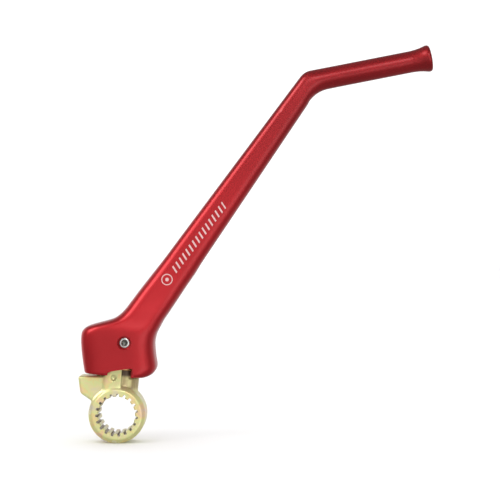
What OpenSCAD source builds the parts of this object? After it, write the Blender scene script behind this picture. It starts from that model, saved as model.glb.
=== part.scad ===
// Folding kick-start lever for a motorcycle: a splined steel knuckle and a one-piece aluminium lever
// that swings round the knuckle's pivot post. The origin is the centre of the splined bore, half way
// along the shaft. +Y runs along the kick shaft towards the engine, +Z runs up the pivot post, and
// the lever is folded: its arm and foot peg lie in the XZ plane.

/* [Spline ring] */
// Outside diameter of the ring
ring_d = 32; // [31:0.5:34]
// Width of the ring along the shaft
ring_w = 20; // [19:0.5:21]
// Chamfer round the ring's outer edges
ring_chamfer = 2; // [1:0.1:2.2]
// Number of spline teeth
spline_teeth = 19; // [15:1:21]
// Diameter across the tips of the teeth
spline_minor_d = 20.6; // [20:0.1:21]
// Diameter at the bottom of the grooves
spline_major_d = 24; // [23:0.1:24.5]

/* [Neck and wing] */
// Diameter of the neck above the ring
neck_d = 19.8; // [19:0.1:20.4]
// Height of the shoulder that carries the lever
shoulder_z = 25.4; // [25.2:0.1:25.5]
// Height of the neck's top, above which only a narrower boss goes on up to the shoulder
neck_top_z = 21.2; // [20.8:0.1:21.3]
// Radius of that boss
boss_r = 8.6; // [8.4:0.1:8.8]
// Reach of the wing to the left of the pivot axis
wing_reach = 23.5; // [22.5:0.1:24]
// Height of the wing's sloping top face at its outer end
wing_tip_z = 19.3; // [18.4:0.1:19.4]
// Height of that face at its inner end
wing_root_z = 21.1; // [20.6:0.1:21.1]
// Thickness of the wing
wing_t = 16.4; // [14:0.2:17]
// Outer radius of the stop tooth that stands on the wing's root
stop_r = 14; // [13.6:0.1:14]
// Half of the angle that the stop tooth fills
stop_half_angle = 15; // [12:1:15]

/* [Pivot] */
// Diameter of the pivot post
post_d = 14; // [13.6:0.1:14.2]
// Outside diameter of the bushes, which is also the bore in the lever
bush_d = 16.4; // [16:0.1:16.8]
// Radial running clearance between the post and a bush
running_gap = 0.04; // [0.02:0.01:0.08]
// Thickness of the thrust washer
washer_t = 1.2; // [1:0.1:1.2]
// Height of the retaining screw's axis
retainer_z = 40.8; // [40.7:0.1:41]
// Sideways offset of the retaining screw's axis
retainer_x = 0.8; // [0:0.1:1]
// Height of the detent's axis
detent_z = 35.5; // [35.3:0.1:35.6]
// Angle that the lever swings through from folded to ready
swing_angle = 100; // [90:1:100]

/* [Housing] */
// Height of the housing's flat underside
housing_z = 21.8; // [21.7:0.1:21.9]
// Half of the housing's depth along the shaft
housing_half_d = 15; // [15:0.1:15.6]
// Squareness of the housing's section
housing_square = 4.6; // [4:0.2:6]
// Radius of the round recess above the neck
recess_r = 12.5; // [12.4:0.1:12.6]
// Radius of the sector in the recess that the stop tooth travels in
sector_r = 14.4; // [14.3:0.1:14.5]

/* [Arm and foot peg] */
// Angle of the arm above the X axis
arm_angle = 60.2; // [59:0.1:61]
// Width of the arm at its lower end
arm_root_w = 18.2; // [17:0.1:19]
// Width of the arm at the elbow
arm_end_w = 12.2; // [12:0.1:13]
// Half of the arm's depth at its lower end
arm_root_half_d = 9.2; // [8.6:0.1:9.8]
// Squareness of the arm's section
arm_square = 3.4; // [2.4:0.2:4]
// Angle of the foot peg above the X axis
peg_angle = 16.6; // [14:0.1:20]
// Length of the foot peg from the elbow
peg_length = 69.4; // [60:0.2:80]
// Diameter of the foot peg
peg_d = 12.1; // [12:0.1:13]
// Diameter of the flared rim at the end of the peg
rim_d = 15; // [14:0.1:16]

/* [Hidden] */

$fn = 64;
eps = 0.01;

// Pivot stack, from the shoulder up
ceiling_z = shoulder_z + washer_t + 0.1;
post_r = post_d / 2;
bore_r = bush_d / 2;
seal_groove_r = 9.1;
seal_groove_top = ceiling_z + 2.5;
lower_bush_top = seal_groove_top + 3.2;
upper_bush_z = retainer_z + 2.5;
upper_bush_top = upper_bush_z + 5;
bore_top_z = upper_bush_top + 1;
post_top_z = bore_top_z - 0.5;

// Detent and retaining screw
ball_r = 2.5;
ball_gap = 0.06;
ball_travel = 0.85;
ball_x = -(post_r + ball_r + ball_gap);
plug_r = 4;
plug_inner_x = -17.8;
plug_outer_x = -22.4;
dog_r = 2;
dog_groove_r = post_r - 1.3;
screw_r = 3;
screw_face_y = -13.7;
screw_hole_mouth_r = 3.75;

// Flat pad on the front of the neck, which clears the recess
pad_y = 8.8;
pad_r = recess_r - 0.4;

// Ends of the sector that the stop tooth travels in
notch_wall_angle = -63;
sector_end_angle = 164;

// Colours
red = [0.67, 0.15, 0.18];
plated = [0.86, 0.82, 0.52];
bronze = [0.72, 0.52, 0.28];
steel = [0.78, 0.78, 0.8];
black = [0.1, 0.1, 0.1];

// A row of the lever is [left x, left z, right x, right z, half depth, squareness]: the two edges of
// one cross-section, seen from the front, with the section's depth and the squareness of its corners.
hd = housing_half_d;
hq = housing_square;
HOUSING_ROWS = [
    [-19.9, housing_z, 10.8, housing_z, hd - 0.9, hq],
    [-20.4, housing_z + 0.4, 13.4, housing_z + 0.4, hd - 0.3, hq],
    [-20.8, housing_z + 1.4, 16.2, housing_z + 1.7, hd, hq],
    [-21.3, 25.1, 18.4, 25.7, hd, hq],
    [-22.3, 29.1, 19.3, 29, hd, hq],
    [-23.6, 35.5, 17.9, 35.2, hd, hq],
    [-24.3, 41.2, 16.9, 41, hd, hq],
    [-23.8, 44.9, 17, 44.6, hd, hq],
    [-21.3, 47.6, 17.5, 47.2, hd - 0.1, hq],
    [-16.4, 49.7, 18.2, 49.2, hd - 0.4, hq - 0.1],
    [-11.3, 51.6, 19, 51, hd - 0.8, hq - 0.3],
    [-7.2, 53.4, 19.8, 53, hd - 1.2, hq - 0.5],
    [-4, 55.9, 20.7, 55, hd - 1.6, hq - 0.7],
    [-1.2, 59.3, 22.1, 57.6, hd - 2.1, hq - 0.8],
    [1.8, 64.1, 24.2, 61.4, hd - 2.8, hq - 0.9],
    [6, 71, 27.2, 67, hd - 3.7, hq - 1],
    [11.6, 79.8, 31.4, 74.9, hd - 4.6, arm_square],
    [17.8, 89.6, 35.7, 82.7, hd - 5.3, arm_square]
];

// The arm's centre line runs from ARM_ROOT to ELBOW
ARM_ROOT = [32, 95.5];
arm_length = 116.8;
function along(p, angle, s) = [p[0] + s * cos(angle), p[1] + s * sin(angle)];
ELBOW = along(ARM_ROOT, arm_angle, arm_length);

// Row across a centre point, square to a direction
function cross_row(p, angle, w, half_depth, square) = [
    p[0] - w / 2 * sin(angle), p[1] + w / 2 * cos(angle),
    p[0] + w / 2 * sin(angle), p[1] - w / 2 * cos(angle), half_depth, square
];
function mix(a, b, t) = a + (b - a) * t;
ARM_ROWS = [for (s = [0, 31, 62, 93, 105])
    let (t = s / arm_length)
    cross_row(along(ARM_ROOT, arm_angle, s), arm_angle, mix(arm_root_w, arm_end_w, t),
        mix(arm_root_half_d, 6.6, t), mix(arm_square, 2.8, t))];

// The elbow rounds the outer edge tightly and the inner edge softly
turn = arm_angle - peg_angle;
outer_round = 10;
inner_round = 17;
mid_angle = (arm_angle + peg_angle) / 2;
function elbow_edge(side, round_r, t) =
    let (corner = ELBOW + side * (arm_end_w / 2 / cos(turn / 2)) * [-sin(mid_angle), cos(mid_angle)],
        centre = corner - round_r / cos(turn / 2) * [-sin(mid_angle), cos(mid_angle)],
        a = arm_angle + 90 - turn * t)
    centre + round_r * [cos(a), sin(a)];
ELBOW_ROWS = [for (t = [0 : 0.2 : 1])
    let (o = elbow_edge(1, outer_round, t), i = elbow_edge(-1, inner_round, t))
    [o[0], o[1], i[0], i[1], mix(6.5, peg_d / 2, t), mix(2.7, 2, t)]];

// Each pair is a distance back from the end of the peg and how much the radius grows there
rim_growth = (rim_d - peg_d) / 2;
PEG_STEPS = [
    [54, 0], [32, 0], [13, 0], [10, 0.06], [7.6, 0.2], [5.4, 0.44], [3.6, 0.75], [2.4, 0.95], [1.7, 1],
    [1, 0.93], [0.5, 0.72], [0.15, 0.35], [0, -0.3]
];
PEG_ROWS = [for (s = PEG_STEPS)
    cross_row(along(ELBOW, peg_angle, peg_length - s[0]), peg_angle, peg_d + 2 * rim_growth * s[1],
        peg_d / 2 + rim_growth * s[1], 2)];

// Catmull-Rom blend between rows, with a number of steps from each row to the next
function blend(a, b, c, d, t) =
    0.5 * (2 * b + (c - a) * t + (2 * a - 5 * b + 4 * c - d) * t * t + (3 * b - a - 3 * c + d) * t * t * t);
function smooth_rows(rows, steps) = [
    for (i = [0 : len(rows) - 2])
        for (k = [0 : steps - 1])
            blend(rows[max(i - 1, 0)], rows[i], rows[i + 1], rows[min(i + 2, len(rows) - 1)], k / steps),
    rows[len(rows) - 1]
];
LEVER_ROWS = concat(smooth_rows(concat(HOUSING_ROWS, ARM_ROWS), 2), ELBOW_ROWS, PEG_ROWS);

// Points round one cross-section: a superellipse between the row's two edges
section_points = 36;
function section(row) = [for (i = [0 : section_points - 1])
    let (a = 360 * (i + 0.5) / section_points,
        n = row[5],
        reach = pow(pow(abs(cos(a)), n) + pow(abs(sin(a)), n), -1 / n),
        u = (1 + reach * cos(a)) / 2)
    [mix(row[0], row[2], u), row[4] * reach * sin(a), mix(row[1], row[3], u)]];

// Solid that joins a list of closed sections, with a flat face on each end
module loft(sections) {
    m = len(sections[0]);
    last = len(sections) - 1;
    polyhedron(
        points = [for (s = sections) each s],
        faces = concat(
            [[for (i = [0 : m - 1]) i]],
            [[for (i = [m - 1 : -1 : 0]) last * m + i]],
            [for (r = [0 : last - 1]) for (i = [0 : m - 1]) let (j = (i + 1) % m)
                each [[r * m + i, (r + 1) * m + i, (r + 1) * m + j], [r * m + i, (r + 1) * m + j, r * m + j]]]
        )
    );
}

// Part of a ring between two radii, from one angle to another
module ring_sector(r_in, r_out, z_low, z_high, from_angle, to_angle) {
    translate([0, 0, z_low])
        rotate([0, 0, from_angle])
            rotate_extrude(angle = to_angle - from_angle)
                translate([r_in, 0])
                    square([r_out - r_in, z_high - z_low]);
}

module tube(r_in, r_out, z_low, z_high) {
    translate([0, 0, z_low])
        difference() {
            cylinder(r = r_out, h = z_high - z_low);
            translate([0, 0, -1])
                cylinder(r = r_in, h = z_high - z_low + 2);
        }
}

// Cylinder along X or Y between two places on that axis
module cylinder_x(r, x_low, x_high) {
    translate([x_low, 0, 0])
        rotate([0, 90, 0])
            cylinder(r = r, h = x_high - x_low);
}

module cylinder_y(r, y_low, y_high, r_end = 0) {
    translate([0, y_low, 0])
        rotate([-90, 0, 0])
            cylinder(r1 = r, r2 = r_end == 0 ? r : r_end, h = y_high - y_low);
}

// Aluminium lever: housing, arm and foot peg in one piece
module lever_arm() {
    color(red)
        difference() {
            loft([for (row = LEVER_ROWS) section(row)]);
            pivot_bore();
            stop_recess();
            notch_relief();
            retainer_hole();
            detent_bore();
        }
}

module pivot_bore() {
    translate([0, 0, housing_z - 1])
        cylinder(r = bore_r, h = bore_top_z - housing_z + 1);
    translate([0, 0, housing_z - 1])
        cylinder(r = seal_groove_r, h = seal_groove_top - housing_z + 1);
}

module stop_recess() {
    translate([0, 0, housing_z - 1])
        cylinder(r = recess_r, h = ceiling_z - housing_z + 1);
    ring_sector(recess_r - 1, sector_r, housing_z - 1, ceiling_z, sector_end_angle - 360, notch_wall_angle);
}

// The front wall below the recess is milled away, deeper towards the notch
module notch_relief() {
    translate([0, -12.6, 0])
        rotate([90, 0, 0])
            linear_extrude(height = 5)
                polygon([[-11, housing_z - 1], [-9.4, housing_z], [-7, 23.5], [-4.3, 24.6],
                    [5, ceiling_z + 0.3], [6.7, ceiling_z + 0.3], [7.9, housing_z - 1]]);
}

module retainer_hole() {
    translate([retainer_x, 0, retainer_z]) {
        cylinder_y(screw_r, -housing_half_d - 1, -post_r);
        cylinder_y(screw_hole_mouth_r, -housing_half_d - 1, screw_face_y - 0.5);
        cylinder_y(screw_hole_mouth_r, screw_face_y - 0.5, screw_face_y + 0.25, screw_r);
    }
}

module detent_bore() {
    translate([0, 0, detent_z]) {
        cylinder_x(ball_r + 0.1, plug_inner_x - 1, -post_r);
        cylinder_x(plug_r, -26, plug_inner_x);
    }
}

// Steel knuckle: spline ring, neck, wing, stop tooth and pivot post in one piece
module knuckle() {
    color(plated)
        difference() {
            union() {
                ring_blank();
                neck();
                wing();
                stop_tooth();
                pivot_post();
            }
            spline_bore();
            dog_groove();
            ball_pocket(180);
            ball_pocket(180 - swing_angle);
            pad_dimple();
        }
}

module ring_blank() {
    r = ring_d / 2;
    half = ring_w / 2;
    rotate([-90, 0, 0])
        rotate_extrude($fn = 96)
            polygon([[5, -half], [r - ring_chamfer, -half], [r - 0.3, -half + ring_chamfer - 0.3],
                [r, -half + ring_chamfer + 0.6], [r, half - ring_chamfer - 0.6],
                [r - 0.3, half - ring_chamfer + 0.3], [r - ring_chamfer, half], [5, half]]);
}

// Neck that flares into the ring, flattened front and back, with a flat pad on its front
module neck() {
    neck_r = neck_d / 2;
    neck_half_t = 7.7;
    flare_r = 3;
    flare_x = neck_r + flare_r;
    flare_z = sqrt(pow(ring_d / 2 + flare_r, 2) - flare_x * flare_x) - 0.4;
    flare_angle = atan2(flare_z, flare_x);
    intersection() {
        rotate_extrude()
            polygon(concat(
                [[0, 8], [neck_r, 8]],
                [for (k = [4 : -1 : 0]) let (a = flare_angle * k / 4)
                    [flare_x - flare_r * cos(a), flare_z - flare_r * sin(a)]],
                [[neck_r, neck_top_z], [boss_r, neck_top_z], [boss_r, shoulder_z], [0, shoulder_z]]));
        translate([-20, -neck_half_t, 0])
            cube([40, 2 * neck_half_t, 40]);
    }
    translate([0, 0, 12])
        intersection() {
            translate([-9.8, -pad_y, 0])
                cube([10.4, pad_y - 5, shoulder_z - 12]);
            cylinder(r = pad_r, h = shoulder_z - 12);
        }
}

// Flat wing with a sloping top, a rounded lower corner and chamfered edges
module wing() {
    hull() {
        wing_plate(0.7, wing_t);
        wing_plate(0, wing_t - 1.4);
    }
}

module wing_plate(inset, thickness) {
    corner_r = 3.5 - inset;
    translate([0, thickness / 2, 0])
        rotate([90, 0, 0])
            linear_extrude(height = thickness)
                polygon(concat(
                    [[-7, wing_root_z - inset], [-wing_reach + inset, wing_tip_z - inset]],
                    [for (a = [190 : 10 : 240]) [-18.6 + corner_r * cos(a), 12.4 + corner_r * sin(a)]],
                    [[-7, 1.8]]));
}

// Tooth that meets the ends of the lever's sector at each end of the swing
module stop_tooth() {
    ring_sector(post_r + 0.8, stop_r, wing_tip_z - 2, shoulder_z - 0.1,
        180 - stop_half_angle, 180 + stop_half_angle);
}

module pivot_post() {
    translate([0, 0, shoulder_z - 2])
        cylinder(r = post_r, h = post_top_z - shoulder_z + 1);
    translate([0, 0, post_top_z - 1])
        cylinder(r1 = post_r, r2 = post_r - 1, h = 1);
}

module spline_bore() {
    half = ring_w / 2;
    minor_r = spline_minor_d / 2;
    major_r = spline_major_d / 2;
    pitch = 2 * PI * minor_r / spline_teeth;
    mouth_w = 0.47 * pitch;
    root_w = 0.36 * pitch;
    lead_in = 0.5;
    first_groove = 2.25;
    cylinder_y(minor_r, -half - 1, half + 1);
    cylinder_y(minor_r + lead_in, -half - eps, -half + lead_in, minor_r);
    cylinder_y(minor_r, half - lead_in, half + eps, minor_r + lead_in);
    for (i = [0 : spline_teeth - 1])
        rotate([90, first_groove + 360 * i / spline_teeth, 0])
            translate([0, 0, -half - 1])
                linear_extrude(height = ring_w + 2)
                    polygon([[minor_r - 0.5, -mouth_w / 2], [minor_r, -mouth_w / 2], [major_r, -root_w / 2],
                        [major_r, root_w / 2], [minor_r, mouth_w / 2], [minor_r - 0.5, mouth_w / 2]]);
}

module dog_groove() {
    tube(dog_groove_r, post_r + 0.5, retainer_z - dog_r - 0.1, retainer_z + dog_r + 0.1);
}

module ball_pocket(angle) {
    rotate([0, 0, angle])
        translate([-ball_x - ball_travel, 0, detent_z])
            sphere(r = ball_r + 0.1);
}

module pad_dimple() {
    translate([-3.8, 0, 20.4])
        cylinder_y(2.1, -pad_y - 1, -pad_y + 0.5);
}

module thrust_washer() {
    color(bronze)
        tube(post_r + 0.1, 10.6, shoulder_z, shoulder_z + washer_t);
}

module lower_bush() {
    color(bronze)
        tube(post_r + running_gap, bore_r - eps, seal_groove_top, lower_bush_top);
}

module upper_bush() {
    color(bronze)
        tube(post_r + running_gap, bore_r - eps, upper_bush_z, upper_bush_top);
}

// O-ring between the post and the mouth of the bore
module dust_seal() {
    seal_r = (seal_groove_r - post_r) / 2 - 0.05;
    color(black)
        translate([0, 0, seal_groove_top - seal_r - 0.1])
            rotate_extrude()
                translate([(seal_groove_r + post_r) / 2, 0])
                    circle(r = seal_r, $fn = 24);
}

// Socket set screw whose dog end runs in the post's groove
module retaining_screw() {
    body_end_y = -bore_r - 0.5;
    color(steel)
        translate([retainer_x, 0, retainer_z])
            difference() {
                union() {
                    cylinder_y(screw_r - 0.5, screw_face_y, screw_face_y + 0.5, screw_r - 0.05);
                    cylinder_y(screw_r - 0.05, screw_face_y + 0.5, body_end_y);
                    cylinder_y(dog_r, body_end_y, -dog_groove_r - 0.1);
                }
                translate([0, screw_face_y + 2.5, 0])
                    rotate([90, 0, 0])
                        cylinder(d = 3.4, h = 4, $fn = 6);
            }
}

module detent_ball() {
    color(steel)
        translate([ball_x, 0, detent_z])
            sphere(r = ball_r);
}

// Compression spring between the plug screw and the ball
module detent_spring() {
    wire_r = 0.35;
    coil_r = 1.85;
    turns = 5;
    x_low = plug_inner_x + wire_r;
    x_high = ball_x - ball_r + 0.45;
    steps = 18;
    color(steel)
        loft([for (k = [0 : turns * steps])
            let (a = 360 * k / steps, x = mix(x_low, x_high, k / (turns * steps)))
            [for (j = [0 : 7])
                let (r = coil_r + wire_r * cos(45 * j))
                [x - wire_r * sin(45 * j), r * cos(a), detent_z + r * sin(a)]]]);
}

// Socket set screw that closes the detent bore
module detent_plug_screw() {
    color(steel)
        translate([0, 0, detent_z])
            difference() {
                cylinder_x(plug_r - 0.05, plug_outer_x, plug_inner_x);
                translate([plug_outer_x - 1, 0, 0])
                    rotate([0, 90, 0])
                        cylinder(d = 4.6, h = 3.5, $fn = 6);
            }
}

lever_arm();
knuckle();
thrust_washer();
lower_bush();
upper_bush();
dust_seal();
retaining_screw();
detent_ball();
detent_spring();
detent_plug_screw();
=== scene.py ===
import math

import bmesh
import bpy
import numpy as np
from mathutils import Matrix, Vector


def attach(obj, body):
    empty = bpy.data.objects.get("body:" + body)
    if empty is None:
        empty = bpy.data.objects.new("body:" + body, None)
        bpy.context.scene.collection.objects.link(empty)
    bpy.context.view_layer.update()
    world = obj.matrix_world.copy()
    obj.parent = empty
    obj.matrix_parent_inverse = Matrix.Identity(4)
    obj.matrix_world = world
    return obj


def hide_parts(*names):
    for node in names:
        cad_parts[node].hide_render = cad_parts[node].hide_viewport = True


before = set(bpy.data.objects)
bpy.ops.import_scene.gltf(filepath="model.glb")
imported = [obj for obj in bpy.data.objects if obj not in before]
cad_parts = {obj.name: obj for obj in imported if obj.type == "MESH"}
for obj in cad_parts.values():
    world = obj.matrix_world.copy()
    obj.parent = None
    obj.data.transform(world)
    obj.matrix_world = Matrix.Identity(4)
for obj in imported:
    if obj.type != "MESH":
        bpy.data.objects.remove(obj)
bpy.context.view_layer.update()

MM = 0.001

# Sizes in millimetres, as in the CAD model: origin at the centre of the splined bore, +Y towards
# the engine, +Z up the pivot post.
RING_R, RING_HALF_W, RING_CHAMFER = 16.0, 10.0, 2.0
SPLINE_TEETH, SPLINE_MINOR_R, SPLINE_MAJOR_R = 19, 10.3, 12.0
NECK_R, NECK_TOP_Z, BOSS_R, SHOULDER_Z, NECK_HALF_T, PAD_Y = 9.9, 21.2, 8.6, 25.4, 7.7, 8.8
WING_REACH, WING_TIP_Z, WING_ROOT_Z, WING_HALF_T = 23.5, 19.3, 21.1, 8.2
POST_R, POST_TOP_Z, BORE_R, BORE_TOP_Z = 7.0, 48.9, 8.2, 49.4
CEILING_Z, HOUSING_Z, RECESS_R, SECTOR_R, SECTOR_ANGLES = 26.7, 21.8, 12.5, 14.4, (-196, -63)
SCREW_X, SCREW_Z, DETENT_Z = 0.8, 40.8, 35.5
WASHER_T, WASHER_R = 1.2, 10.6
SEAL_GROOVE_R, SEAL_TOP_Z = 9.1, 29.2
LOWER_BUSH_TOP_Z, UPPER_BUSH_Z, UPPER_BUSH_TOP_Z = 32.4, 43.4, 48.4
SCREW_R, PLUG_R, PLUG_INNER_X, BALL_R, BALL_X = 2.95, 3.95, -17.8, 2.5, -9.56
BALL_TRAVEL, BALL_POCKET_R, BALL_POCKET_ANGLES = 0.85, 2.6, (180, 80)
POST_GROOVE_Z, POST_GROOVE_TOP_Z, POST_GROOVE_DEPTH = 38.8, 42.8, 1.3
TOOTH_R, TOOTH_SLOPE = 14.0, math.radians(15)
DIMPLE_R, DIMPLE_X, DIMPLE_Z = 2.2, -3.8, 20.4


# ---------------------------------------------------------------- mesh helpers

def make_object(name, verts, faces):
    mesh = bpy.data.meshes.new(name)
    mesh.from_pydata([tuple(map(float, v)) for v in verts], [], [tuple(map(int, f)) for f in faces])
    obj = bpy.data.objects.new(name, mesh)
    bpy.context.scene.collection.objects.link(obj)
    return obj


def tidy_mesh(obj, distance=1e-4):
    """Joins doubled points and turns every face outwards."""
    bm = bmesh.new()
    bm.from_mesh(obj.data)
    bmesh.ops.remove_doubles(bm, verts=bm.verts, dist=distance)
    bmesh.ops.dissolve_degenerate(bm, edges=bm.edges, dist=distance)
    bmesh.ops.recalc_face_normals(bm, faces=bm.faces)
    bm.to_mesh(obj.data)
    bm.free()
    return obj


def loft(name, sections):
    """Closed skin over a list of rings that all have the same number of points."""
    rings, m = len(sections), len(sections[0])
    verts = np.concatenate(sections)
    faces = [tuple(range(m)), tuple((rings - 1) * m + i for i in range(m - 1, -1, -1))]
    for r in range(rings - 1):
        for i in range(m):
            j = (i + 1) % m
            faces.append((r * m + i, (r + 1) * m + i, (r + 1) * m + j, r * m + j))
    return tidy_mesh(make_object(name, verts, faces), 1e-5)


def lathe(name, profile, axis="Z", around=96, centre=(0, 0, 0)):
    """Solid of revolution of a closed (radius, height) profile about an axis through centre."""
    verts, faces, m = [], [], len(profile)
    for k in range(around):
        a = 2 * math.pi * k / around
        for r, h in profile:
            u, v = r * math.cos(a), r * math.sin(a)
            verts.append({"X": (h, u, v), "Y": (u, h, v), "Z": (u, v, h)}[axis])
    for k in range(around):
        n = (k + 1) % around
        for i in range(m):
            j = (i + 1) % m
            if profile[i][0] < 1e-9 and profile[j][0] < 1e-9:
                continue
            faces.append((k * m + i, k * m + j, n * m + j, n * m + i))
    obj = make_object(name, np.array(verts) + np.array(centre), faces)
    return tidy_mesh(obj)


def prism(name, outline, low, high, axis="Y"):
    """Prism of a closed outline: (x, z) along Y, (y, z) along X or (x, y) along Z."""
    def put(p, h):
        return {"Y": (p[0], h, p[1]), "X": (h, p[0], p[1]), "Z": (p[0], p[1], h)}[axis]
    m = len(outline)
    verts = [put(p, low) for p in outline] + [put(p, high) for p in outline]
    faces = [tuple(range(m)), tuple(range(2 * m - 1, m - 1, -1))]
    faces += [(i, (i + 1) % m, m + (i + 1) % m, m + i) for i in range(m)]
    return tidy_mesh(make_object(name, verts, faces))


def boolean(target, cutter, operation="DIFFERENCE"):
    mod = target.modifiers.new("boolean", "BOOLEAN")
    mod.operation = operation
    mod.solver = "EXACT"
    mod.object = cutter
    done = bpy.data.meshes.new_from_object(target.evaluated_get(bpy.context.evaluated_depsgraph_get()))
    target.modifiers.clear()
    before = target.data
    target.data = done
    bpy.data.meshes.remove(before)
    spare = cutter.data
    bpy.data.objects.remove(cutter)
    bpy.data.meshes.remove(spare)
    return target


def finish_piece(obj, material, body, nodes, sharp=32):
    """Millimetres to metres, smooth shading with crisp corners, then material, body and CAD nodes."""
    obj.data.transform(Matrix.Scale(MM, 4))
    obj.data.shade_smooth()
    obj.data.set_sharp_from_angle(angle=math.radians(sharp))
    obj.data.materials.clear()
    obj.data.materials.append(material)
    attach(obj, body)
    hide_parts(*nodes)
    return obj


# ---------------------------------------------------------------- materials

class Nodes:
    """Short way to write a node tree."""

    def __init__(self, tree):
        self.tree = tree
        tree.nodes.clear()

    def add(self, kind, inputs=None, **settings):
        node = self.tree.nodes.new(kind)
        for key, value in settings.items():
            setattr(node, key, value)
        for key, value in (inputs or {}).items():
            if isinstance(value, bpy.types.NodeSocket):
                self.tree.links.new(value, node.inputs[key])
            else:
                node.inputs[key].default_value = value
        return node

    def math(self, operation, a, b=0.0):
        return self.add("ShaderNodeMath", {0: a, 1: b}, operation=operation).outputs[0]

    def hypot(self, a, b):
        squares = [self.math("POWER", value, 2.0) for value in (a, b)]
        return self.math("SQRT", self.math("ADD", *squares))

    def vector(self, operation, a, b):
        return self.add("ShaderNodeVectorMath", {0: a, 1: b}, operation=operation).outputs["Vector"]

    def dot(self, a, b):
        return self.add("ShaderNodeVectorMath", {0: a, 1: b}, operation="DOT_PRODUCT").outputs["Value"]

    def length(self, a):
        return self.add("ShaderNodeVectorMath", {0: a}, operation="LENGTH").outputs["Value"]

    def xyz(self, vector):
        return self.add("ShaderNodeSeparateXYZ", {0: vector}).outputs

    def noise(self, vector, scale, detail=2.0, rough=0.5):
        return self.add("ShaderNodeTexNoise", {"Vector": vector, "Scale": scale, "Detail": detail,
                                               "Roughness": rough}).outputs["Fac"]

    def remap(self, value, a, b, c, d, smooth=False):
        kind = "SMOOTHSTEP" if smooth else "LINEAR"
        return self.add("ShaderNodeMapRange", {"Value": value, "From Min": a, "From Max": b, "To Min": c,
                                               "To Max": d}, interpolation_type=kind).outputs["Result"]

    def mix(self, factor, a, b):
        node = self.add("ShaderNodeMix", data_type="RGBA")
        for key, value in ((0, factor), (6, a), (7, b)):
            if isinstance(value, bpy.types.NodeSocket):
                self.tree.links.new(value, node.inputs[key])
            else:
                node.inputs[key].default_value = value
        return node.outputs[2]

    def ramp(self, value, stops):
        node = self.add("ShaderNodeValToRGB", {"Fac": value})
        elements = node.color_ramp.elements
        while len(elements) > 1:
            elements.remove(elements[-1])
        elements[0].position, elements[0].color = stops[0]
        for position, colour in stops[1:]:
            elements.new(position).color = colour
        return node.outputs["Color"]


def rgb(r, g, b):
    return (r, g, b, 1.0)


def new_material(name):
    material = bpy.data.materials.new(name)
    material.use_nodes = True
    n = Nodes(material.node_tree)
    out = n.add("ShaderNodeOutputMaterial")
    shader = n.add("ShaderNodeBsdfPrincipled")
    n.tree.links.new(shader.outputs[0], out.inputs["Surface"])
    place = n.add("ShaderNodeTexCoord").outputs["Object"]
    return material, n, shader, place


def connect(n, shader, **inputs):
    for key, value in inputs.items():
        socket = shader.inputs[key.replace("_", " ")]
        if isinstance(value, bpy.types.NodeSocket):
            n.tree.links.new(value, socket)
        else:
            socket.default_value = value


def bump(n, height, strength, distance):
    node = n.add("ShaderNodeBump", {"Height": height, "Strength": strength, "Distance": distance})
    return node.outputs["Normal"]


MARK_START, MARK_END = Vector((18.9, 0, 75.0)), Vector((48.4, 0, 122.6))
MARK_RING_AT, MARK_RING_R, MARK_LINE_HALF, MARK_DOT_R = 3.6, 2.9, 0.26, 1.0
MARK_BARS_FROM, MARK_PITCH, MARK_SLANT, MARK_GAP_HALF, MARK_HALF_HEIGHT = 9.2, 3.0, 0.35, 1.0, 2.0


def etched_mark(n, place):
    """Mask of a plain etched mark along the front of the arm: a small ring, then a row of slanted bars."""
    along = (MARK_END - MARK_START).normalized()
    across = Vector((-along.z, 0, along.x))
    moved = n.vector("SUBTRACT", place, tuple(MARK_START * MM))
    s, t = n.dot(moved, tuple(along / MM)), n.dot(moved, tuple(across / MM))
    length = (MARK_END - MARK_START).length
    soft = 0.06

    def within(value, limit):
        return n.remap(value, limit - soft, limit + soft, 1.0, 0.0, True)

    radius = n.hypot(n.math("SUBTRACT", s, MARK_RING_AT), t)
    ring = within(n.math("ABSOLUTE", n.math("SUBTRACT", radius, MARK_RING_R)), MARK_LINE_HALF)
    dot = within(radius, MARK_DOT_R)
    slanted = n.math("SUBTRACT", s, n.math("MULTIPLY", t, MARK_SLANT))
    wave = n.math("PINGPONG", n.math("SUBTRACT", slanted, MARK_BARS_FROM), MARK_PITCH / 2)
    bars = n.remap(wave, MARK_GAP_HALF - soft, MARK_GAP_HALF + soft, 0.0, 1.0, True)
    tall = within(n.math("ABSOLUTE", t), MARK_HALF_HEIGHT)
    begins = n.remap(slanted, MARK_BARS_FROM - 0.2, MARK_BARS_FROM - 0.1, 0.0, 1.0)
    ends = n.remap(slanted, length, length + 0.1, 1.0, 0.0)
    row = n.math("MULTIPLY", n.math("MULTIPLY", bars, tall), n.math("MULTIPLY", begins, ends))
    mark = n.math("MAXIMUM", row, n.math("MAXIMUM", ring, dot))
    front = n.remap(n.xyz(place)["Y"], -0.004, -0.0035, 1.0, 0.0)
    return n.math("MULTIPLY", mark, front)


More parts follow.
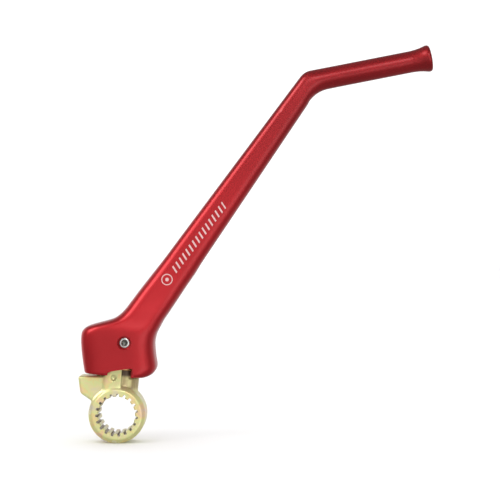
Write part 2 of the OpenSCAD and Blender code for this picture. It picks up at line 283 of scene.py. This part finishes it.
def anodised_red():
    material, n, shader, place = new_material("anodised_red")
    slow = n.noise(place, 34.0, 3.0)
    fine = n.noise(place, 2600.0, 2.0, 0.6)
    grain = n.noise(place, 900.0, 3.0, 0.6)
    edge = n.remap(n.add("ShaderNodeNewGeometry").outputs["Pointiness"], 0.53, 0.62, 0.0, 1.0)
    colour = n.ramp(slow, [
        (0.3, rgb(0.45, 0.009, 0.014)), (0.55, rgb(0.50, 0.011, 0.017)), (0.75, rgb(0.55, 0.014, 0.021))])
    # Painted shade: the red is made a little darker towards the upper end
    colour = n.mix(n.remap(n.xyz(place)["Z"], 0.105, 0.18, 0.0, 0.3, True), colour, rgb(0.0, 0.0, 0.0))
    wear = n.math("MULTIPLY", edge, n.remap(grain, 0.35, 0.7, 0.15, 0.6))
    worn = n.mix(wear, colour, rgb(0.68, 0.15, 0.15))
    mark = etched_mark(n, place)
    speckle = n.remap(fine, 0.3, 0.7, 0.75, 1.0)
    colour = n.mix(n.math("MULTIPLY", mark, speckle), worn, rgb(0.8, 0.58, 0.57))
    rough = n.math("ADD", n.remap(grain, 0.3, 0.7, 0.38, 0.46), n.math("MULTIPLY", mark, 0.2))
    metal = n.remap(mark, 0.0, 1.0, 0.8, 0.35)
    height = n.math("ADD", n.math("MULTIPLY", fine, 0.6), n.math("MULTIPLY", grain, 0.7))
    height = n.math("SUBTRACT", height, n.math("MULTIPLY", mark, 1.2))
    connect(n, shader, Base_Color=colour, Roughness=rough, Metallic=metal,
            Normal=bump(n, height, 0.06, 0.00003))
    connect(n, shader, Coat_Weight=0.42, Coat_Roughness=0.22, Coat_IOR=1.5)
    return material


def yellow_zinc():
    material, n, shader, place = new_material("yellow_zinc")
    film = n.noise(place, 95.0, 3.0, 0.55)
    patches = n.noise(place, 210.0, 4.0, 0.6)
    forged = n.noise(place, 420.0, 4.0, 0.55)
    fine = n.noise(place, 2200.0, 2.0, 0.5)
    tone = n.math("ADD", n.math("MULTIPLY", film, 0.6), n.math("MULTIPLY", patches, 0.4))
    colour = n.ramp(tone, [
        (0.34, rgb(0.72, 0.66, 0.50)), (0.43, rgb(0.80, 0.72, 0.36)), (0.49, rgb(0.74, 0.76, 0.34)),
        (0.55, rgb(0.84, 0.70, 0.30)), (0.61, rgb(0.86, 0.62, 0.36)), (0.68, rgb(0.76, 0.60, 0.52))])
    edge = n.remap(n.add("ShaderNodeNewGeometry").outputs["Pointiness"], 0.52, 0.6, 0.0, 0.6)
    colour = n.mix(edge, colour, rgb(0.9, 0.86, 0.66))
    # Painted shade: the colour is darkened to brown at the bottom of the spline grooves, away from the faces
    x, y, z = n.xyz(place)
    from_axis = n.length(n.vector("MULTIPLY", place, (1, 0, 1)))
    depth = n.remap(n.math("ABSOLUTE", y), 0.0094, 0.0099, 1.0, 0.0)
    groove_shade = n.math("MULTIPLY", n.remap(from_axis, 0.0104, 0.0113, 0.0, 1.0),
                    n.remap(from_axis, 0.0122, 0.0124, 1.0, 0.0))
    colour = n.mix(n.math("MULTIPLY", groove_shade, depth), colour, rgb(0.26, 0.17, 0.06))
    # Painted shade: brown, streaky shade on the neck beside the pad
    behind = n.math("MAXIMUM", n.remap(y, -0.0087, -0.0080, 0.0, 1.0), n.remap(x, 0.0004, 0.0010, 0.0, 1.0))
    neck = n.math("MULTIPLY", n.remap(z, 0.0135, 0.0165, 0.0, 1.0, True),
                  n.remap(n.hypot(x, y), 0.0100, 0.0104, 1.0, 0.0))
    neck = n.math("MULTIPLY", neck, n.remap(x, 0.0004, 0.0016, 0.0, 1.0, True))
    streaks = n.add("ShaderNodeMapping", {"Vector": place, "Scale": (700.0, 700.0, 90.0)}).outputs[0]
    streaks = n.remap(n.noise(streaks, 1.0, 3.0), 0.35, 0.65, 0.35, 0.8)
    colour = n.mix(n.math("MULTIPLY", neck, streaks), colour, rgb(0.36, 0.25, 0.12))
    # Painted shade: near-black shade above the neck, round the pivot under the housing
    pivot_shade = n.math("MULTIPLY", n.remap(z, 0.0208, 0.0228, 0.0, 0.93, True),
                    n.remap(z, 0.0253, 0.0256, 1.0, 0.0))
    colour = n.mix(n.math("MULTIPLY", pivot_shade, behind), colour, rgb(0.055, 0.025, 0.014))
    rough = n.remap(patches, 0.3, 0.7, 0.28, 0.44)
    height = n.math("ADD", forged, n.math("MULTIPLY", fine, 0.25))
    connect(n, shader, Base_Color=colour, Roughness=rough, Metallic=0.55,
            Normal=bump(n, height, 0.35, 0.00008))
    connect(n, shader, Coat_Weight=0.25, Coat_Roughness=0.2, Coat_IOR=1.45)
    return material


def turned_metal(name, dark, light, rough_low, rough_high, axis, socket=None):
    """Machined metal: turning lines round an axis, a slow change of colour and painted shade deep in the
    socket.
    """
    material, n, shader, place = new_material(name)
    scale = {"X": (9000.0, 60.0, 60.0), "Y": (60.0, 9000.0, 60.0), "Z": (60.0, 60.0, 9000.0)}[axis]
    stretched = n.add("ShaderNodeMapping", {"Vector": place, "Scale": scale}).outputs[0]
    lines = n.noise(stretched, 1.0, 3.0, 0.6)
    slow = n.noise(place, 260.0, 3.0, 0.5)
    colour = n.mix(n.math("ADD", n.math("MULTIPLY", lines, 0.5), n.math("MULTIPLY", slow, 0.5)), dark, light)
    if socket:
        centre, keep, radius, begin, end = socket
        from_axis = n.length(n.vector("MULTIPLY", n.vector("SUBTRACT", place, centre), keep))
        # Painted shade: the socket darkens towards its bottom
        socket_shade = n.math("MULTIPLY", n.remap(from_axis, radius, radius + 0.0003, 1.0, 0.0),
                     n.remap(n.xyz(place)[axis], begin, end, 0.0, 0.85))
        colour = n.mix(socket_shade, colour, rgb(0.06, 0.06, 0.045))
    connect(n, shader, Base_Color=colour, Metallic=1.0,
            Roughness=n.remap(slow, 0.3, 0.7, rough_low, rough_high),
            Normal=bump(n, lines, 0.25, 0.00002))
    return material


def nitrile_rubber():
    material, n, shader, place = new_material("nitrile_rubber")
    dust = n.noise(place, 700.0, 4.0, 0.6)
    colour = n.mix(n.remap(dust, 0.5, 0.8, 0.0, 1.0), rgb(0.012, 0.012, 0.013), rgb(0.07, 0.065, 0.06))
    connect(n, shader, Base_Color=colour, Roughness=n.remap(dust, 0.3, 0.7, 0.5, 0.75),
            Normal=bump(n, dust, 0.2, 0.00003))
    return material


RED = anodised_red()
ZINC = yellow_zinc()
SCREW_STEEL = turned_metal("screw_steel", rgb(0.6, 0.6, 0.58), rgb(0.9, 0.9, 0.88), 0.2, 0.36, "Y",
                           ((SCREW_X * MM, 0, SCREW_Z * MM), (1, 0, 1), 0.0016, -0.0136, -0.0130))
PLUG_STEEL = turned_metal("plug_steel", rgb(0.6, 0.6, 0.58), rgb(0.9, 0.9, 0.88), 0.2, 0.36, "X",
                          ((0, 0, DETENT_Z * MM), (0, 1, 1), 0.0022, -0.0222, -0.0214))
BALL_STEEL = turned_metal("ball_steel", rgb(0.62, 0.62, 0.63), rgb(0.72, 0.72, 0.73), 0.08, 0.14, "Z")
SPRING_STEEL = turned_metal("spring_steel", rgb(0.26, 0.26, 0.27), rgb(0.46, 0.46, 0.47), 0.25, 0.4, "Z")
BRONZE = turned_metal("sintered_bronze", rgb(0.45, 0.25, 0.1), rgb(0.72, 0.47, 0.22), 0.3, 0.48, "Z")
RUBBER = nitrile_rubber()


# ---------------------------------------------------------------- lever

HALF_D, SQUARE = 15.0, 4.6
# Left edge x and z, right edge x and z, half depth, squareness
HOUSING_ROWS = [
    [-19.9, 21.8, 10.8, 21.8, HALF_D - 0.9, SQUARE],
    [-20.4, 22.2, 13.4, 22.2, HALF_D - 0.3, SQUARE],
    [-20.8, 23.2, 16.2, 23.5, HALF_D, SQUARE],
    [-21.3, 25.1, 18.4, 25.7, HALF_D, SQUARE],
    [-22.3, 29.1, 19.3, 29, HALF_D, SQUARE],
    [-23.6, 35.5, 17.9, 35.2, HALF_D, SQUARE],
    [-24.3, 41.2, 16.9, 41, HALF_D, SQUARE],
    [-23.8, 44.9, 17, 44.6, HALF_D, SQUARE],
    [-21.3, 47.6, 17.5, 47.2, HALF_D - 0.1, SQUARE],
    [-16.4, 49.7, 18.2, 49.2, HALF_D - 0.4, SQUARE - 0.1],
    [-11.3, 51.6, 19, 51, HALF_D - 0.8, SQUARE - 0.3],
    [-7.2, 53.4, 19.8, 53, HALF_D - 1.2, SQUARE - 0.5],
    [-4, 55.9, 20.7, 55, HALF_D - 1.6, SQUARE - 0.7],
    [-1.2, 59.3, 22.1, 57.6, HALF_D - 2.1, SQUARE - 0.8],
    [1.8, 64.1, 24.2, 61.4, HALF_D - 2.8, SQUARE - 0.9],
    [6, 71, 27.2, 67, HALF_D - 3.7, SQUARE - 1],
    [11.6, 79.8, 31.4, 74.9, HALF_D - 4.6, 3.4],
    [17.8, 89.6, 35.7, 82.7, HALF_D - 5.3, 3.4],
]
ARM_ANGLE, PEG_ANGLE = math.radians(60.2), math.radians(16.6)
ARM_ROOT, ARM_LENGTH = np.array([32.0, 95.5]), 116.8
ARM_ROOT_W, ARM_END_W, PEG_D, PEG_LENGTH, RIM_GROWTH = 18.2, 12.2, 12.1, 69.4, 1.45
ARM_ROOT_HALF_D, ARM_END_HALF_D, ARM_ROOT_SQUARE, ARM_END_SQUARE = 9.2, 6.6, 3.4, 2.8
ELBOW_OUTER_R, ELBOW_INNER_R = 10, 17
# Distance from the peg's end, and how much of the rim's growth it has there
PEG_ROWS = [
    (54, 0), (32, 0), (13, 0), (10, 0.06), (7.6, 0.2), (5.4, 0.44), (3.6, 0.75), (2.4, 0.95), (1.7, 1),
    (1, 0.93), (0.5, 0.72), (0.15, 0.35), (0, -0.3)]


def mix(a, b, t):
    return a + (b - a) * t


def heading(angle):
    return np.array([math.cos(angle), math.sin(angle)])


def cross_row(p, angle, width, half_depth, square):
    left = p + width / 2 * heading(angle + math.pi / 2)
    right = p - width / 2 * heading(angle + math.pi / 2)
    return [left[0], left[1], right[0], right[1], half_depth, square]


def smooth_rows(rows, spacing):
    """Catmull-Rom curve through the rows, with a row about every so many millimetres."""
    rows = np.array(rows, float)
    out = []
    for i in range(len(rows) - 1):
        a, b, c, d = rows[max(i - 1, 0)], rows[i], rows[i + 1], rows[min(i + 2, len(rows) - 1)]
        gap = max(np.linalg.norm(c[:2] - b[:2]), np.linalg.norm(c[2:4] - b[2:4]), abs(c[4] - b[4]))
        steps = max(2, math.ceil(gap / spacing))
        for k in range(steps):
            t = k / steps
            out.append(0.5 * (2 * b + (c - a) * t + (2 * a - 5 * b + 4 * c - d) * t * t
                              + (3 * b - a - 3 * c + d) * t ** 3))
    return out + [rows[-1]]


def lever_rows():
    arm = []
    for s in (0, 31, 62, 93, 105):
        t = s / ARM_LENGTH
        width, half_depth = mix(ARM_ROOT_W, ARM_END_W, t), mix(ARM_ROOT_HALF_D, ARM_END_HALF_D, t)
        arm.append(cross_row(ARM_ROOT + s * heading(ARM_ANGLE), ARM_ANGLE, width, half_depth,
                             mix(ARM_ROOT_SQUARE, ARM_END_SQUARE, t)))
    elbow_point = ARM_ROOT + ARM_LENGTH * heading(ARM_ANGLE)
    turn, middle = ARM_ANGLE - PEG_ANGLE, (ARM_ANGLE + PEG_ANGLE) / 2
    outwards = heading(middle + math.pi / 2)

    def elbow_edge(side, round_r, t):
        corner = elbow_point + side * ARM_END_W / 2 / math.cos(turn / 2) * outwards
        centre = corner - round_r / math.cos(turn / 2) * outwards
        return centre + round_r * heading(ARM_ANGLE + math.pi / 2 - turn * t)

    elbow = []
    for t in np.linspace(0, 1, 15):
        outer, inner = elbow_edge(1, ELBOW_OUTER_R, t), elbow_edge(-1, ELBOW_INNER_R, t)
        elbow.append([*outer, *inner, mix(6.5, PEG_D / 2, t), mix(2.7, 2, t)])
    peg = [cross_row(elbow_point + (PEG_LENGTH - s) * heading(PEG_ANGLE), PEG_ANGLE,
                     PEG_D + 2 * RIM_GROWTH * g, PEG_D / 2 + RIM_GROWTH * g, 2) for s, g in PEG_ROWS]
    return (smooth_rows(HOUSING_ROWS + arm, 1.1) + smooth_rows(elbow, 1.2) + smooth_rows(peg, 0.9))


def section(row, points=144):
    a = 2 * math.pi * (np.arange(points) + 0.5) / points
    c, s, n = np.cos(a), np.sin(a), row[5]
    reach = (np.abs(c) ** n + np.abs(s) ** n) ** (-1 / n)
    u = (1 + reach * c) / 2
    return np.stack([mix(row[0], row[2], u), row[4] * reach * s, mix(row[1], row[3], u)], axis=1)


def arc(radius, start, end, count):
    return [(radius * math.cos(a), radius * math.sin(a)) for a in np.radians(np.linspace(start, end, count))]


def build_lever():
    lever = loft("lever", [section(row) for row in lever_rows()])
    low = HOUSING_Z - 1
    boolean(lever, lathe("bore", [
        (0, low), (RECESS_R + 1.4, low), (RECESS_R, HOUSING_Z + 0.4), (RECESS_R, CEILING_Z),
        (SEAL_GROOVE_R + 0.3, CEILING_Z), (SEAL_GROOVE_R, CEILING_Z + 0.3), (SEAL_GROOVE_R, SEAL_TOP_Z),
        (BORE_R, SEAL_TOP_Z), (BORE_R, BORE_TOP_Z), (0, BORE_TOP_Z)], around=144))
    begin, end = SECTOR_ANGLES
    pocket = arc(SECTOR_R, begin, end, 60) + arc(RECESS_R - 1, end, begin, 60)
    boolean(lever, prism("pocket", pocket, low, CEILING_Z - 0.001, "Z"))
    relief = [
        (-11, low), (-9.4, HOUSING_Z), (-8.3, 22.8), (-7, 23.5), (-5.6, 24.1), (-4.3, 24.6), (-2, 25.25),
        (5, 27), (6.3, 27), (6.65, 26.85), (6.8, 26.5), (7.9, low)]
    boolean(lever, prism("relief", relief, -17.6, -12.6))
    boolean(lever, lathe("screw_hole", [
        (0, -16), (4.7, -16), (3.75, -14.75), (3.75, -14.2), (3.0, -13.45), (3.0, -7), (0, -7)],
        "Y", 72, (SCREW_X, 0, SCREW_Z)))
    boolean(lever, lathe("plug_hole", [
        (0, -26), (4.9, -26), (4.0, -23.3), (4.0, -17.8), (2.6, -17.4), (2.6, -7), (0, -7)],
        "X", 72, (0, 0, DETENT_Z)))
    return finish_piece(lever, RED, "lever", ["lever_arm"])


# ---------------------------------------------------------------- knuckle

def smooth_min(a, b, k):
    h = np.clip(0.5 + 0.5 * (b - a) / k, 0, 1)
    return b * (1 - h) + a * h - k * h * (1 - h)


def smooth_max(a, b, k):
    return -smooth_min(-a, -b, k)


def polygon_distance(x, z, points):
    """Signed distance from a convex outline that runs anticlockwise."""
    nearest = np.full(np.shape(x), 1e9)
    inside = np.full(np.shape(x), -1e9)
    for (ax, az), (bx, bz) in zip(points, points[1:] + points[:1]):
        ex, ez = bx - ax, bz - az
        t = np.clip(((x - ax) * ex + (z - az) * ez) / (ex * ex + ez * ez), 0, 1)
        nearest = np.minimum(nearest, np.hypot(x - ax - t * ex, z - az - t * ez))
        inside = np.maximum(inside, ((x - ax) * ez - (z - az) * ex) / math.hypot(ex, ez))
    return np.where(inside < 0, -nearest, nearest)


def wing_outline():
    corner = [(-18.6 + x, 12.4 + z) for x, z in arc(3.5, 190, 240, 9)]
    tip = [(-WING_REACH + 1.2, WING_TIP_Z + 0.19), (-WING_REACH + 0.25, WING_TIP_Z - 0.15),
           (-WING_REACH, WING_TIP_Z - 1)]
    return [(-5, WING_ROOT_Z + 0.22)] + tip + corner + [(-5, 0.7)]


def knuckle_distance(x, y, z):
    """Signed distance-like field of the forged body, without the spline and the pivot post."""
    ay, r, radius = np.abs(y), np.hypot(x, z), np.hypot(x, y)
    ring = smooth_max(r - RING_R, ay - RING_HALF_W, 0.3)
    ring = smooth_max(ring, (r + ay - RING_R - RING_HALF_W + RING_CHAMFER) / math.sqrt(2), 0.5)
    neck = smooth_max(radius - NECK_R, z - NECK_TOP_Z, 0.7)
    neck = smooth_max(neck, ay - NECK_HALF_T, 2.6)
    neck = np.maximum(neck, 3 - z)
    body = smooth_min(ring, neck, 1.6)
    boss = smooth_max(radius - BOSS_R, ay - NECK_HALF_T, 1.6)
    body = smooth_min(body, np.maximum(boss, 12 - z), 0.6)
    flat = polygon_distance(x, z, wing_outline())
    wing = smooth_max(flat, ay - WING_HALF_T, 0.4)
    wing = smooth_max(wing, (flat + ay - WING_HALF_T + 0.7) / math.sqrt(2), 0.4)
    body = smooth_min(body, wing, 1.1)
    pad_sides = smooth_max(x - 0.5, -9.0 - x, 1.0)
    pad = smooth_max(pad_sides, smooth_max(-y - PAD_Y, radius - RECESS_R + 0.4, 0.6), 0.5)
    pad = smooth_max(pad, (z - x - 30.2) / math.sqrt(2), 0.5)
    pad = np.maximum(np.maximum(pad, y + 5), 12 - z)
    body = smooth_min(body, pad, 1.3)
    dimple = DIMPLE_R - np.hypot(np.hypot(x - DIMPLE_X, z - DIMPLE_Z), y + PAD_Y + 1.4)
    body = smooth_max(body, dimple, 0.4)
    tooth = np.maximum(radius - TOOTH_R, ay * math.cos(TOOTH_SLOPE) + x * math.sin(TOOTH_SLOPE))
    tooth = smooth_max(tooth, np.maximum(z - SHOULDER_Z + 0.1, 17 - z), 0.4)
    body = smooth_min(body, tooth, 0.8)
    body = smooth_max(body, z - SHOULDER_Z, 0.25)
    return smooth_max(body, 9.2 - r, 0.2)


def surface_nets(field, low, high, step):
    """Quad mesh of a field's zero level, with every point moved onto the level."""
    axes = [np.arange(a, b + step, step) for a, b in zip(low, high)]
    f = field(*np.meshgrid(*axes, indexing="ij"))
    shape = np.array(f.shape) - 1
    total, count = np.zeros((*shape, 3)), np.zeros(shape)

    def corner(i, j, k):
        return f[i:i + shape[0], j:j + shape[1], k:k + shape[2]]

    for axis in range(3):
        for p in (0, 1):
            for q in (0, 1):
                a = [p, q]
                a.insert(axis, 0)
                b = [p, q]
                b.insert(axis, 1)
                f0, f1 = corner(*a), corner(*b)
                crosses = (f0 < 0) != (f1 < 0)
                with np.errstate(divide="ignore", invalid="ignore"):
                    t = np.where(crosses, f0 / (f0 - f1), 0)
                for c in range(3):
                    total[..., c] += np.where(crosses, t if c == axis else a[c], 0)
                count += crosses
    cells = count > 0
    index = np.full(shape, -1)
    index[cells] = np.arange(cells.sum())
    where = np.argwhere(cells)
    points = (where + total[cells] / count[cells][:, None]) * step + np.array(low)
    faces = []
    for axis in range(3):
        u, v = [c for c in range(3) if c != axis]
        first = [slice(1, -1)] * 3
        first[axis] = slice(0, -1)
        second = list(first)
        second[axis] = slice(1, None)
        low_side, high_side = f[tuple(first)] < 0, f[tuple(second)] < 0
        edges = np.argwhere(low_side != high_side)
        falling = low_side[tuple(edges.T)]
        edges[:, [u, v]] += 1
        quad = []
        for du, dv in ((-1, -1), (0, -1), (0, 0), (-1, 0)):
            cell = edges.copy()
            cell[:, u] += du
            cell[:, v] += dv
            quad.append(index[tuple(cell.T)])
        quad = np.stack(quad, axis=1)
        turned = falling if axis != 1 else ~falling
        quad[~turned] = quad[~turned][:, ::-1]
        faces.append(quad)
    for _ in range(2):
        value, gradient, e = field(*points.T), np.zeros_like(points), 0.01
        for c in range(3):
            shift = np.zeros(3)
            shift[c] = e
            gradient[:, c] = (field(*(points + shift).T) - field(*(points - shift).T)) / (2 * e)
        size = np.maximum((gradient ** 2).sum(1), 0.25)
        points -= np.clip(value / size, -step / 2, step / 2)[:, None] * gradient
    return points, np.concatenate(faces)


def spline_outline():
    pitch = 2 * math.pi * SPLINE_MINOR_R / SPLINE_TEETH
    mouth = 0.47 * pitch / 2 / SPLINE_MINOR_R
    root = 0.36 * pitch / 2 / SPLINE_MAJOR_R
    points = []
    for i in range(SPLINE_TEETH):
        a = -math.radians(2.25) + 2 * math.pi * i / SPLINE_TEETH
        step = 2 * math.pi / SPLINE_TEETH
        spots = [
            (SPLINE_MINOR_R, -mouth), (SPLINE_MAJOR_R - 0.25, -root - 0.012), (SPLINE_MAJOR_R, -root + 0.02),
            (SPLINE_MAJOR_R, root - 0.02), (SPLINE_MAJOR_R - 0.25, root + 0.012), (SPLINE_MINOR_R, mouth)]
        spots += [(SPLINE_MINOR_R, mouth + (step - 2 * mouth) * k / 4) for k in (1, 2, 3)]
        points += [(r * math.cos(a + d), r * math.sin(a + d)) for r, d in spots]
    return points


def ball_profile(radius, count):
    angles = np.linspace(-math.pi / 2, math.pi / 2, count)
    profile = [(radius * math.cos(a), radius * math.sin(a)) for a in angles]
    profile[0], profile[-1] = (0, -radius), (0, radius)
    return profile


def build_knuckle():
    verts, faces = surface_nets(knuckle_distance, (-24.6, -11.2, -17.0), (17.4, 11.4, 26.4), 0.36)
    knuckle = tidy_mesh(make_object("knuckle_forging", verts, faces), 1e-5)
    boolean(knuckle, prism("spline", spline_outline(), -11, 11))
    for side in (-1, 1):
        cone = [(0, 11 * side), (11.8, 11 * side), (10.0, 9.2 * side), (0, 9.2 * side)]
        boolean(knuckle, lathe("lead_in", cone, "Y"))
    low, high, groove_r = POST_GROOVE_Z, POST_GROOVE_TOP_Z, POST_R - POST_GROOVE_DEPTH
    post = lathe("post", [
        (0, 18), (POST_R, 18),
        (POST_R, low - 0.3), (POST_R - 0.2, low - 0.1), (groove_r, low),
        (groove_r, high), (POST_R - 0.2, high + 0.1), (POST_R, high + 0.3),
        (POST_R, POST_TOP_Z - 1), (POST_R - 1, POST_TOP_Z), (0, POST_TOP_Z)])
    boolean(knuckle, post, "UNION")
    reach = -BALL_X - BALL_TRAVEL
    for angle in np.radians(BALL_POCKET_ANGLES):
        centre = (reach * math.cos(angle), reach * math.sin(angle), DETENT_Z)
        boolean(knuckle, lathe("pocket", ball_profile(BALL_POCKET_R, 25), "Z", 48, centre))
    return finish_piece(knuckle, ZINC, "knuckle", ["knuckle"], 38)


# ---------------------------------------------------------------- screws, bushes and the rest

def hexagon(across, turn=0.0):
    return [(across / math.sqrt(3) * math.cos(a), across / math.sqrt(3) * math.sin(a))
            for a in np.radians(np.arange(6) * 60 + turn)]


def thread(radius, start, stop, depth, half_width, pitch):
    """Fine grooves along a screw, as points of its profile."""
    points = []
    while start < stop:
        points += [(radius, start), (radius - depth, start + half_width), (radius, start + 2 * half_width)]
        start += pitch
    return points


def build_screw():
    r, place = SCREW_R, (SCREW_X, 0, SCREW_Z)
    profile = [(0, -13.7), (2.35, -13.7), (2.6, -13.62), (r, -13.1)]
    profile += thread(r, -12.95, -9.3, 0.42, 0.28, 0.62)
    profile += [(r, -8.9), (r - 0.5, -8.7), (2.0, -8.7), (2.0, -6.15), (1.65, -5.8), (0, -5.8)]
    screw = lathe("retaining_screw_fine", profile, "Y", 72, place)
    socket = [(x + SCREW_X, z + SCREW_Z) for x, z in hexagon(3.1, 12)]
    boolean(screw, prism("socket", socket, -14.5, -10.6))
    boolean(screw, lathe("mouth", [(0, -14.5), (2.75, -14.5), (1.6, -13.35), (0, -13.35)], "Y", 72, place))
    boolean(screw, lathe("drill", [(0, -10.9), (1.5, -10.9), (1.5, -10.5), (0, -9.7)], "Y", 48, place))
    return finish_piece(screw, SCREW_STEEL, "lever", ["retaining_screw"], 28)


def build_plug():
    r, place = PLUG_R, (0, 0, DETENT_Z)
    profile = [(0, -22.4), (3.2, -22.4), (3.5, -22.3), (r, -21.8)]
    profile += thread(r, -21.7, -18.6, 0.5, 0.33, 0.72)
    profile += [(r, PLUG_INNER_X - 0.4), (r - 0.4, PLUG_INNER_X), (0, PLUG_INNER_X)]
    plug = lathe("detent_plug_fine", profile, "X", 72, place)
    socket = [(y, z + DETENT_Z) for y, z in hexagon(4.0)]
    boolean(plug, prism("socket", socket, -23, -20.0, "X"))
    boolean(plug, lathe("mouth", [(0, -23.2), (3.2, -23.2), (2.1, -22.1), (0, -22.1)], "X", 72, place))
    return finish_piece(plug, PLUG_STEEL, "lever", ["detent_plug_screw"], 28)


def build_tube(node, inner, outer, low, high, chamfer, body):
    profile = [
        (inner + chamfer, low), (outer - chamfer, low), (outer, low + chamfer), (outer, high - chamfer),
        (outer - chamfer, high), (inner + chamfer, high), (inner, high - chamfer), (inner, low + chamfer)]
    return finish_piece(lathe(node + "_fine", profile), BRONZE, body, [node])


def build_seal():
    ring_r, r = (SEAL_GROOVE_R + POST_R) / 2, (SEAL_GROOVE_R - POST_R) / 2 - 0.05
    z = SEAL_TOP_Z - r - 0.1
    turn = np.linspace(0, 2 * math.pi, 24, endpoint=False)
    profile = [(ring_r + r * math.cos(a), z + r * math.sin(a)) for a in turn]
    return finish_piece(lathe("dust_seal_ring", profile), RUBBER, "lever", ["dust_seal"], 60)


def build_ball():
    ball = lathe("detent_ball_fine", ball_profile(BALL_R, 33), "Z", 64, (BALL_X, 0, DETENT_Z))
    return finish_piece(ball, BALL_STEEL, "ball", ["detent_ball"], 60)


def build_spring():
    wire, coil, turns, steps = 0.35, 1.85, 5.0, 240
    low, high = PLUG_INNER_X + wire, BALL_X - BALL_R + 0.45
    sections = []
    for k in range(steps + 1):
        t = k / steps
        a = 2 * math.pi * turns * t
        x = mix(low, high, t)
        ring = []
        for b in np.linspace(0, 2 * math.pi, 16, endpoint=False):
            r = coil + wire * math.cos(b)
            ring.append((x - wire * math.sin(b), r * math.cos(a), DETENT_Z + r * math.sin(a)))
        sections.append(np.array(ring))
    spring = loft("detent_spring_fine", sections)
    return finish_piece(spring, SPRING_STEEL, "lever", ["detent_spring"], 60)


build_lever()
build_knuckle()
build_screw()
build_plug()
build_tube("thrust_washer", POST_R + 0.1, WASHER_R, SHOULDER_Z, SHOULDER_Z + WASHER_T, 0.2, "knuckle")
build_tube("lower_bush", POST_R + 0.04, BORE_R - 0.01, SEAL_TOP_Z, LOWER_BUSH_TOP_Z, 0.25, "lever")
build_tube("upper_bush", POST_R + 0.04, BORE_R - 0.01, UPPER_BUSH_Z, UPPER_BUSH_TOP_Z, 0.25, "lever")
build_seal()
build_ball()
build_spring()


# ---------------------------------------------------------------- floor, light and camera

ROLL = math.radians(5.5)
UP = Vector((-math.sin(ROLL), 0, math.cos(ROLL)))
RIGHT = Vector((math.cos(ROLL), 0, math.sin(ROLL)))
CAMERA_AT = (0.0653, -0.8, 0.0989)


def build_floor():
    verts, faces = [(0.0, 0.0, 0.0)], []
    radii, around = [0.15, 0.4, 1.0, 3.0, 9.0], 48
    for r in radii:
        turn = [2 * math.pi * k / around for k in range(around)]
        verts += [(r * math.cos(a), r * math.sin(a), 0.0) for a in turn]
    for k in range(around):
        n = (k + 1) % around
        faces.append((0, 1 + k, 1 + n))
        for i in range(len(radii) - 1):
            a, b = 1 + i * around, 1 + (i + 1) * around
            faces.append((a + k, b + k, b + n, a + n))
    floor = make_object("floor", verts, faces)
    below = -RING_R * MM * UP
    floor.matrix_world = Matrix((
        (RIGHT.x, 0, UP.x, below.x), (0, 1, 0, 0), (RIGHT.z, 0, UP.z, below.z), (0, 0, 0, 1)))
    material, n, shader, place = new_material("floor_paper")
    tone = n.noise(place, 3.0, 2.0)
    colour = n.mix(tone, rgb(0.90, 0.90, 0.90), rgb(0.93, 0.93, 0.93))
    connect(n, shader, Base_Color=colour, Roughness=0.7, Specular_IOR_Level=0.2)
    floor.data.materials.append(material)
    floor.visible_glossy = False


def build_key_light():
    data = bpy.data.lights.new("key", "AREA")
    data.shape = "RECTANGLE"
    data.size, data.size_y = 0.35, 0.35
    data.energy = 1.2
    light = bpy.data.objects.new("key", data)
    bpy.context.scene.collection.objects.link(light)
    light.location = (-0.55, -0.5, 0.9)
    light.rotation_mode = "QUATERNION"
    aim = Vector((0.03, 0, 0.05))
    light.rotation_quaternion = (aim - light.location).to_track_quat("-Z", "Y")


# Direction, inner and outer angle in degrees, strength
SOFT_BOXES = [
    ((-0.68, -0.55, 0.48), 4, 21, 4.6),
    ((0.12, -0.87, 0.48), 3, 15, 4.6),
    ((0.36, -0.92, -0.16), 4, 16, 1.4),
    ((0.64, -0.75, -0.08), 5, 20, 0.6),
    ((-0.72, 0.69, -0.08), 12, 40, 0.6),
    ((0.85, 0.52, 0.0), 12, 40, 0.3),
]
PAPER_STRENGTH = 1.2


def build_world():
    """White to the camera and to matt surfaces; to gloss, a grey room with soft boxes."""
    world = bpy.data.worlds.new("studio")
    bpy.context.scene.world = world
    world.use_nodes = True
    world.cycles.sampling_method = "NONE"
    n = Nodes(world.node_tree)
    out = n.add("ShaderNodeOutputWorld")
    direction = n.add("ShaderNodeTexCoord").outputs["Generated"]
    y = n.xyz(direction)["Y"]
    in_front = n.remap(y, -0.99, -0.78, 0.72, 0.3, True)
    behind = n.remap(y, 0.8, 0.98, 0.0, 0.5, True)
    level = n.math("ADD", in_front, behind)
    for aim, inner, outer, strength in SOFT_BOXES:
        towards = n.dot(direction, tuple(Vector(aim).normalized()))
        dark, bright = math.cos(math.radians(outer)), math.cos(math.radians(inner))
        level = n.math("ADD", level, n.remap(towards, dark, bright, 0.0, strength, True))
    room = n.add("ShaderNodeBackground", {"Color": rgb(1, 1, 1), "Strength": level})
    paper = n.add("ShaderNodeBackground", {"Color": rgb(1, 1, 1), "Strength": PAPER_STRENGTH})
    gloss = n.add("ShaderNodeLightPath").outputs["Is Glossy Ray"]
    both = n.add("ShaderNodeMixShader", {0: gloss, 1: paper.outputs[0], 2: room.outputs[0]})
    n.tree.links.new(both.outputs[0], out.inputs["Surface"])


def build_camera():
    data = bpy.data.cameras.new("camera")
    data.lens, data.sensor_width = 101.95, 36.0
    data.clip_start, data.clip_end = 0.01, 50.0
    camera = bpy.data.objects.new("camera", data)
    bpy.context.scene.collection.objects.link(camera)
    x, y, z = CAMERA_AT
    camera.matrix_world = Matrix(((RIGHT.x, UP.x, 0, x), (0, 0, -1, y), (RIGHT.z, UP.z, 0, z), (0, 0, 0, 1)))
    bpy.context.scene.camera = camera


build_floor()
build_world()
build_key_light()
build_camera()

view = bpy.context.scene.view_settings
view.view_transform = "Standard"
view.look = "None"
view.exposure = 0.0
view.gamma = 1.0
